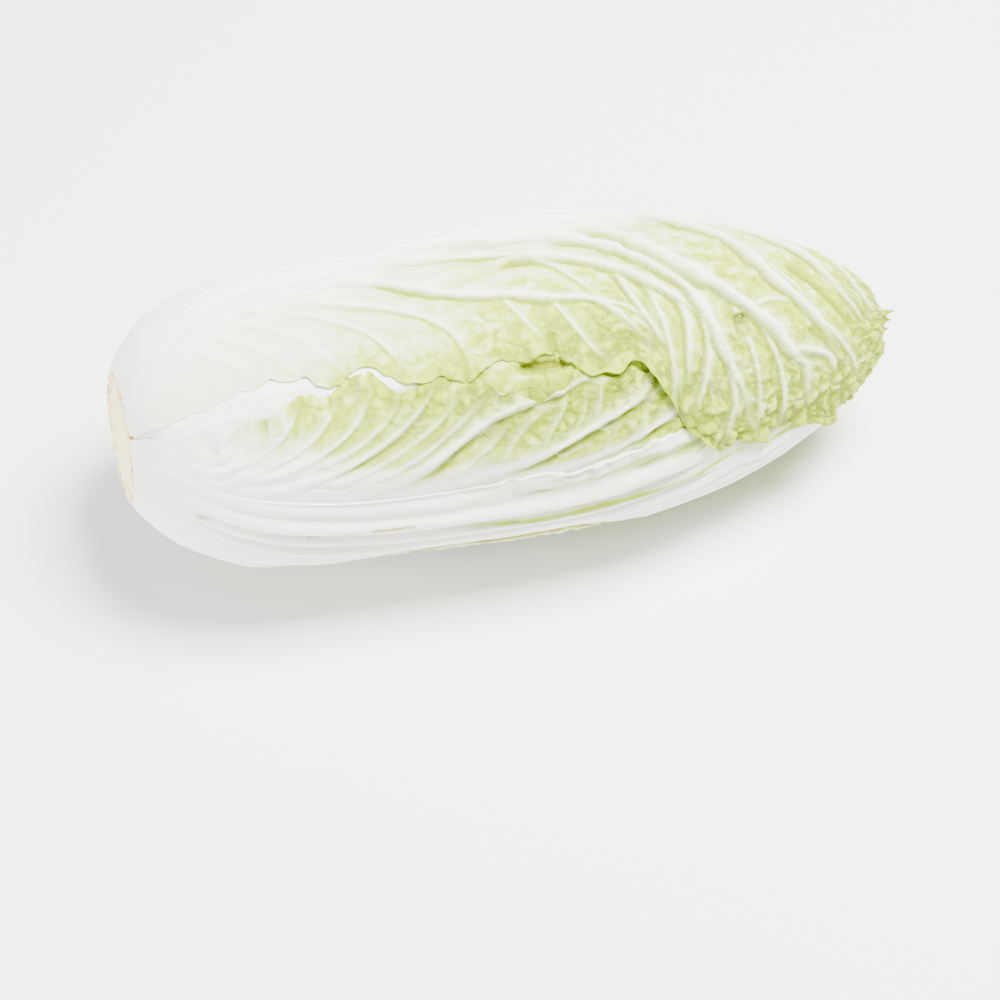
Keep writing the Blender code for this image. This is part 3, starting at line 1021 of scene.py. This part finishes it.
def outer_leaves():
    return [
        Leaf("leaf_top",
             low=((2, -80), (40, -92), (120, -104), (220, -110), (290, -108),
                  (330, -95), (342, -80)),
             high=((2, 41), (12, 39), (24, 36), (36, 33), (45, 30),
                   (60, 28), (75, 31), (88, 35), (98, 30), (108, 33),
                   (118, 38), (130, 37), (140, 38),
                   (150, 35), (158, 34), (166, 33), (175, 31), (185, 35),
                   (195, 42), (205, 42), (213, 40), (220, 47), (227, 60),
                   (235, 74), (248, 86), (262, 87), (275, 88), (288, 90),
                   (300, 100), (312, 108), (328, 112), (342, 110)),
             mid=((2, -28), (120, -34), (240, -44), (342, -40)),
             rib=((2, 70), (18, 46), (60, 34), (100, 30), (140, 26), (180, 23),
                  (220, 18), (260, 12), (300, 6), (342, 2)),
             end=340.0, rows=344, columns=248, seed=21, sunk=2.4, ridges=2.7,
             veins=TOP_VEINS, dense_from=95, frill=34, flare=2.6,
             ruffle=((0, 0.3), (110, 0.7), (150, 1.8), (200, 2.6), (340, 2.8)),
             lobes=((14, 8, 8.0), (38, 7, 5.0), (64, 8, 3.5), (95, 8, 3.0)),
             ragged=((0, 0.0), (25, 0.4), (60, 1.1), (140, 1.4), (230, 1.1),
                     (295, 0.9), (335, 0.35)),
             green=((0, 0.12), (50, 0.18), (100, 0.32), (150, 0.55),
                    (200, 0.80), (250, 1.0), (342, 1.2)),
             savoy=((0, 0.10), (90, 0.22), (180, 0.45), (225, 0.95),
                    (342, 1.1)),
             dents=((265, 33, 3.8, 6.6, 9.0, 1.0),), spread=60,
             folds=TOP_FOLDS, back_fan=True),
        Leaf("leaf_under",
             low=((2, 176), (40, 148), (75, 130), (100, 122), (150, 118),
                  (185, 116), (200, 124), (230, 138), (290, 150), (338, 178)),
             high=((2, 272), (60, 284), (150, 292), (230, 296), (300, 288),
                   (338, 262)),
             mid=((2, 225), (338, 222)),
             rib=((2, 70), (20, 44), (80, 32), (150, 24), (220, 14), (338, 3)),
             end=334.0, rows=216, columns=160, seed=34, sunk=1.2,
             dried=0.55, ruffle=((0, 0.5),), ragged=((0, 0.0), (60, 0.5)),
             green=((0, 0.05), (150, 0.12), (334, 0.6))),
        Leaf("leaf_low",
             low=((2, 58), (14, 62), (40, 72), (80, 78), (110, 80), (150, 79),
                  (200, 76), (233, 71), (260, 70), (300, 72), (332, 75)),
             high=((2, 164), (60, 180), (130, 190), (230, 192), (290, 182),
                   (332, 166)),
             mid=((2, 108), (120, 104), (332, 112)),
             rib=((2, 90), (60, 62), (110, 44), (150, 34), (220, 30),
                  (280, 16), (332, 4)),
             end=330.0, rows=260, columns=168, seed=47, ridges=3.6, sunk=1.6,
             ragged=((0, 0.0), (130, 0.05), (155, 0.8), (332, 1.0)),
             scars=((68, 88, 92, 0.8), (97, 112, 91, 0.8), (24, 26, 84, 0.9)),
             phase=0.3, extra_veins=LOW_RIBS, folds=LOW_FOLDS),
        Leaf("leaf_front",
             low=((2, 44), (20, 46), (36, 48), (44, 43), (58, 42), (66, 39),
                  (74, 35), (84, 37), (95, 33), (104, 35), (112, 38),
                  (125, 37), (140, 37), (150, 41), (160, 46), (172, 47),
                   (182, 45),
                  (190, 41), (200, 44), (212, 42), (222, 44), (240, 50),
                  (280, 56), (332, 62)),
             high=((2, 112), (60, 118), (120, 124), (230, 124), (332, 112)),
             mid=((2, 82), (60, 82), (120, 84), (332, 92)),
             rib=((2, 60), (16, 34), (40, 22), (80, 15), (120, 10), (180, 9),
                  (220, 12), (332, 6)),
             end=330.0, rows=400, columns=188, seed=58, veins=FRONT_VEINS,
             dense_from=15,
             sunk=1.8, ragged=((0, 0.0), (25, 0.6), (60, 1.3), (200, 1.3)),
             green=((0, 0.03), (45, 0.14), (80, 0.40), (120, 0.80), (160, 1.0),
                    (332, 1.1)), spread=16,
             savoy=((0, 0.10), (60, 0.25), (110, 0.5), (180, 0.8),
                    (332, 1.0))),
        Leaf("leaf_second_front",
             low=((2, -20), (100, -35), (230, -42), (332, -18)),
             high=((2, 92), (100, 100), (230, 104), (332, 88)),
             mid=((2, 40), (60, 41), (95, 39), (140, 22), (332, 8)),
             rib=((2, 70), (20, 30), (60, 14), (90, 10), (104, 4), (332, 1)),
             end=334.0, rows=200, columns=140, seed=63, base_depth=1.8,
             dents=((174, 38, 13, 3.4, 3.0, 0.55),), frill=60,
             veins=(vein(1.2, 0.7, 0.5, (120, -5), (180, 4), (240, 12)),),
             savoy=((0, 0.1), (120, 0.5), (150, 1.1), (332, 1.1)),
             green=((0, 0.1), (60, 0.3), (110, 0.8), (140, 1.2), (332, 1.2))),
        Leaf("leaf_second_under",
             low=((2, 112), (60, 97), (200, 90), (300, 98), (332, 122)),
             high=((2, 222), (100, 236), (230, 240), (332, 210)),
             mid=((2, 165), (332, 162)),
             rib=((2, 70), (20, 44), (80, 30), (200, 12), (332, 3)),
             end=330.0, rows=110, columns=90, seed=71, base_depth=1.2),
        Leaf("leaf_second_back",
             low=((2, 226), (100, 206), (230, 202), (337, 234)),
             high=((2, 344), (100, 358), (230, 364), (337, 332)),
             mid=((2, 286), (337, 284)),
             rib=((2, 70), (20, 44), (80, 30), (200, 12), (337, 3)),
             end=336.0, rows=130, columns=100, seed=82, base_depth=1.2),
    ]


OUTER_NODES = {
    "leaf_top": "leaf_1_top", "leaf_under": "leaf_1_under",
    "leaf_low": "leaf_1_low", "leaf_front": "leaf_1_front",
    "leaf_second_front": "leaf_2_front", "leaf_second_under": "leaf_2_under",
    "leaf_second_back": "leaf_2_back",
}

# packed rings: number, middle and half width in degrees, end in mm, depth
# below the surface in mm, and rows and columns
INNER_RINGS = (
    (3, -24, 66, 337, 7.0, (96, 72)), (4, 36, 65, 336, 13.0, (72, 56)),
    (5, -20, 64, 334, 20.0, (56, 40)), (6, 42, 63, 333, 28.0, (48, 32)),
    (7, -16, 62, 332, 36.0, (48, 32)),
)


def inner_leaves():
    leaves = []
    for ring, centre, half, end, depth, (rows, columns) in INNER_RINGS:
        for k, letter in enumerate("abc"):
            middle = centre + 120 * k
            leaves.append(Leaf(
                f"leaf_inner_{ring}{letter}",
                low=((2, middle - half), (290, middle - half),
                     (end, middle - 0.75 * half)),
                high=((2, middle + half), (290, middle + half),
                      (end, middle + 0.75 * half)),
                mid=((2, middle), (end, middle)),
                rib=((2, 60), (20, 36), (80, 24), (200, 9), (end, 2)),
                end=float(end), rows=rows, columns=columns,
                seed=90 + ring * 7 + k,
                base_depth=depth, thick=(2.4, 1.2), slot="inner_leaf",
                green=((0, 0.2), (100, 0.6), (340, 1.0))))
    return leaves


STACK = Stack()


def add_leaves(leaves, nodes, material):
    for leaf in leaves:
        obj = shell_object(leaf.name, *shape_leaf(leaf, STACK))
        obj.data.materials.append(material)
        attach(obj, "root")
        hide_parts(nodes[leaf.name])


# ------------------------------------------------------------------ operators
def colour_property(name, description, default):
    return bpy.props.FloatVectorProperty(
        name=name, description=description, default=default, size=3,
        min=0.0, max=1.0, subtype="COLOR")


class NapaLeafSettings(bpy.types.PropertyGroup):
    rib: colour_property("Rib", "Colour of the ribs and veins",
                         (0.86, 0.88, 0.82))
    pale: colour_property("Blade", "Colour of the blade near the ribs",
                          (0.45, 0.58, 0.03))
    deep: colour_property("Blade edge", "Colour of the blade's outer parts",
                          (0.235, 0.318, 0.0))
    # painted shade colour deep in the folds
    fold_shade: colour_property("Folds", "Colour deep in the folds",
                            (0.185, 0.235, 0.0))


class NapaStageSettings(bpy.types.PropertyGroup):
    floor: colour_property("Floor", "Colour of the floor", (0.86, 0.86, 0.86))
    lens: bpy.props.FloatProperty(
        name="Lens", description="Focal length on a 36 mm sensor",
        default=96.5, unit="CAMERA")
    azimuth: bpy.props.FloatProperty(
        name="Azimuth", description="Camera turn about the head",
        default=math.radians(-13.5), subtype="ANGLE")
    elevation: bpy.props.FloatProperty(
        name="Elevation", description="Camera height angle",
        default=math.radians(52.0), subtype="ANGLE")
    distance: bpy.props.FloatProperty(
        name="Distance", description="Camera distance", default=1.219,
        unit="LENGTH")


class NAPA_OT_outer_leaves(bpy.types.Operator):
    """Adds the wrapping leaves, outermost first"""
    bl_idname = "napa.outer_leaves"
    bl_label = "Outer leaves"

    def execute(self, context):
        tones = context.scene.napa_leaf
        material = leaf_paint("outer_leaf_skin", tuple(tones.rib),
                              tuple(tones.pale), tuple(tones.deep),
                              tuple(tones.fold_shade))
        add_leaves(outer_leaves(), OUTER_NODES, material)
        return {"FINISHED"}


class NAPA_OT_inner_leaves(bpy.types.Operator):
    """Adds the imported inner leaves"""
    bl_idname = "napa.inner_leaves"
    bl_label = "Inner leaves"

    def execute(self, context):
        # the last colour is the painted shade deep in the folds
        material = leaf_paint("inner_leaf_skin", (0.86, 0.87, 0.74),
                              (0.80, 0.82, 0.40), (0.70, 0.74, 0.18),
                              (0.52, 0.58, 0.07))
        leaves = inner_leaves()
        nodes = {leaf.name: f"leaf_{leaf.name[11]}_{leaf.name[12]}"
                 for leaf in leaves}
        add_leaves(leaves, nodes, material)
        return {"FINISHED"}


# the bud's whiteness, greenness, share of painted fold shade and brownness
HEART_MARKS = (0.0, 0.8, 0.2, 0.0)
HEART_FOLD = 0.10        # depth of the bud's folds, as a share of its radius


class NAPA_OT_heart(bpy.types.Operator):
    """Adds the crinkled bud in the middle"""
    bl_idname = "napa.heart"
    bl_label = "Heart"

    def execute(self, context):
        low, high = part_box("heart")
        rows, turns = 60, 64
        bm = bmesh.new()
        bmesh.ops.create_uvsphere(
            bm, u_segments=turns, v_segments=rows, radius=1.0)
        middle = (Vector(low) + Vector(high)) / 2
        size = (Vector(high) - Vector(low)) / 2 * 0.97
        for vert in bm.verts:
            unit = vert.co.copy()
            turn = math.atan2(unit.y, unit.x)
            fold = 1.0 + HEART_FOLD * math.sin(7 * turn + 4 * unit.z) * (
                1 - unit.z ** 2)
            vert.co = Vector((
                middle.x + size.x * unit.z,
                middle.y + size.y * unit.x * fold * 0.9,
                middle.z + size.z * unit.y * fold * 0.9))
        bmesh.ops.recalc_face_normals(bm, faces=bm.faces)
        obj = placed("heart_bud", bm, [HEART_MARKS] * len(bm.verts))
        obj.data.uv_layers.new(name="flat")
        obj.data.materials.append(bpy.data.materials["inner_leaf_skin"])
        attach(obj, "root")
        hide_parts("heart")
        return {"FINISHED"}


class NAPA_OT_stump(bpy.types.Operator):
    """Adds the cut stem that the leaves grow round"""
    bl_idname = "napa.stump"
    bl_label = "Stump"

    def execute(self, context):
        turns = 160
        left = -LENGTH / 2
        profile = [(left + 0.4, 0.0)]
        profile += [(left + 0.4 + 0.2 * math.sin(r * 0.9), r)
                    for r in np.linspace(1, 26.5, 26)]
        profile += [(left + 0.5, 27.4), (left + 0.8, 28.0), (left + 1.4, 28.3),
                    (left + 3.0, 28.2), (left + 6, 27.0), (left + 18, 20.6),
                    (left + 35.5, 13.2), (left + 36, 0.0)]
        bm = bmesh.new()
        line = [bm.verts.new((x, 0.0, r)) for x, r in profile]
        edges = [bm.edges.new(pair) for pair in zip(line, line[1:])]
        bmesh.ops.spin(bm, geom=line + edges, cent=(0, 0, 0), axis=(1, 0, 0),
                       angle=2 * math.pi, steps=turns, use_merge=True)
        bmesh.ops.remove_doubles(bm, verts=bm.verts, dist=1e-4)
        marks = []
        for vert in bm.verts:
            x, y, z = vert.co
            r, turn = math.hypot(y, z), math.atan2(y, z)
            face = 1.0 if x < left + 2 else 0.0
            rough = float(layered(
                np.array(y / 3.0 + 50), np.array(z / 3.0), 7))
            wobble = (1 + face * 0.02 * math.sin(3 * turn + 1)
                      + 0.012 * math.sin(11 * turn))
            x += face * 0.7 * rough + step(30, 5, x - left) * (
                CUT_LEAN[0] * z - CUT_LEAN[1] * y)
            z = z * wobble + AXIS_HEIGHT - AXIS_FALL * x
            y = y * wobble
            vert.co = Vector((x + CENTRE_X, y + CENTRE_Y, z)) * MM
            ring = math.exp(-((r - 25.5) / 1.4) ** 2)
            marks.append((ring, min(1.0, max(0.0, (r - 15) / 13)), 0.0, 1.0))
        bmesh.ops.recalc_face_normals(bm, faces=bm.faces)
        obj = placed("stump_cut", bm, marks)
        obj.data.materials.append(stump_paint(
            (0.95, 0.92, 0.58), (0.93, 0.87, 0.40), (0.40, 0.25, 0.04)))
        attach(obj, "root")
        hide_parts("stump")
        return {"FINISHED"}


TARGET = Vector((-0.005, -0.0117, -0.0054))   # what the camera looks at
LIT_PLACE = Vector((0, 0, 0.05))              # what the lamps point at
# name, place in m, size in m, power in W and colour
LAMPS = (
    ("key", (0.5, -0.05, 1.6), 0.7, 165.0, (1.0, 0.99, 0.97)),
    ("fill", (-1.5, -0.35, 0.40), 0.9, 44.0, (1.0, 0.985, 0.95)),
)


class NAPA_OT_stage(bpy.types.Operator):
    """Adds the floor, the soft lights and the camera"""
    bl_idname = "napa.stage"
    bl_label = "Stage"

    def execute(self, context):
        look = context.scene.napa_stage
        bm = bmesh.new()
        bmesh.ops.create_grid(bm, x_segments=2, y_segments=2, size=6.0)
        mesh = bpy.data.meshes.new("floor")
        bm.to_mesh(mesh)
        bm.free()
        paint = Paint("floor_matte", Roughness=0.9, Specular_IOR_Level=0.1)
        paint.shader.inputs["Base Color"].default_value = (*look.floor, 1.0)
        mesh.materials.append(paint.material)
        floor = bpy.data.objects.new("floor", mesh)
        context.scene.collection.objects.link(floor)

        world = bpy.data.worlds.new("studio")
        world.use_nodes = True
        sky = world.node_tree.nodes["Background"]
        sky.inputs["Color"].default_value = (0.97, 0.985, 1.0, 1.0)
        sky.inputs["Strength"].default_value = 0.9
        context.scene.world = world

        for name, place, size, power, colour in LAMPS:
            data = bpy.data.lights.new(name, "AREA")
            data.shape, data.size = "SQUARE", size
            data.energy, data.color = power, colour
            lamp = bpy.data.objects.new(name, data)
            lamp.location = place
            aim = LIT_PLACE - Vector(place)
            lamp.rotation_euler = aim.to_track_quat("-Z", "Y").to_euler()
            context.scene.collection.objects.link(lamp)

        data = bpy.data.cameras.new("camera")
        data.lens, data.sensor_width = look.lens, 36.0
        camera = bpy.data.objects.new("camera", data)
        a, e = look.azimuth, look.elevation
        back = Vector((math.sin(a) * math.cos(e), -math.cos(a) * math.cos(e),
                       math.sin(e)))
        camera.location = TARGET + back * look.distance
        camera.rotation_euler = back.to_track_quat("Z", "Y").to_euler()
        context.scene.collection.objects.link(camera)
        context.scene.camera = camera
        return {"FINISHED"}


class NAPA_PT_panel(bpy.types.Panel):
    """Lists the cabbage's pieces"""
    bl_idname = "NAPA_PT_panel"
    bl_label = "Napa cabbage"
    bl_space_type = "VIEW_3D"
    bl_region_type = "UI"
    bl_category = "Napa"

    def draw(self, context):
        for operator in OPERATORS:
            self.layout.operator(operator.bl_idname)
        for group in (context.scene.napa_leaf, context.scene.napa_stage):
            for name in group.bl_rna.properties.keys():
                if name not in ("rna_type", "name"):
                    self.layout.prop(group, name)


OPERATORS = (NAPA_OT_outer_leaves, NAPA_OT_inner_leaves, NAPA_OT_heart,
             NAPA_OT_stump, NAPA_OT_stage)
CLASSES = (NapaLeafSettings, NapaStageSettings, *OPERATORS, NAPA_PT_panel)


def register():
    for cls in CLASSES:
        bpy.utils.register_class(cls)
    bpy.types.Scene.napa_leaf = bpy.props.PointerProperty(
        type=NapaLeafSettings)
    bpy.types.Scene.napa_stage = bpy.props.PointerProperty(
        type=NapaStageSettings)


def unregister():
    del bpy.types.Scene.napa_leaf
    del bpy.types.Scene.napa_stage
    for cls in reversed(CLASSES):
        bpy.utils.unregister_class(cls)


def main():
    register()
    for name in ("outer_leaves", "inner_leaves", "heart", "stump", "stage"):
        getattr(bpy.ops.napa, name)()


if __name__ == "__main__":
    main()
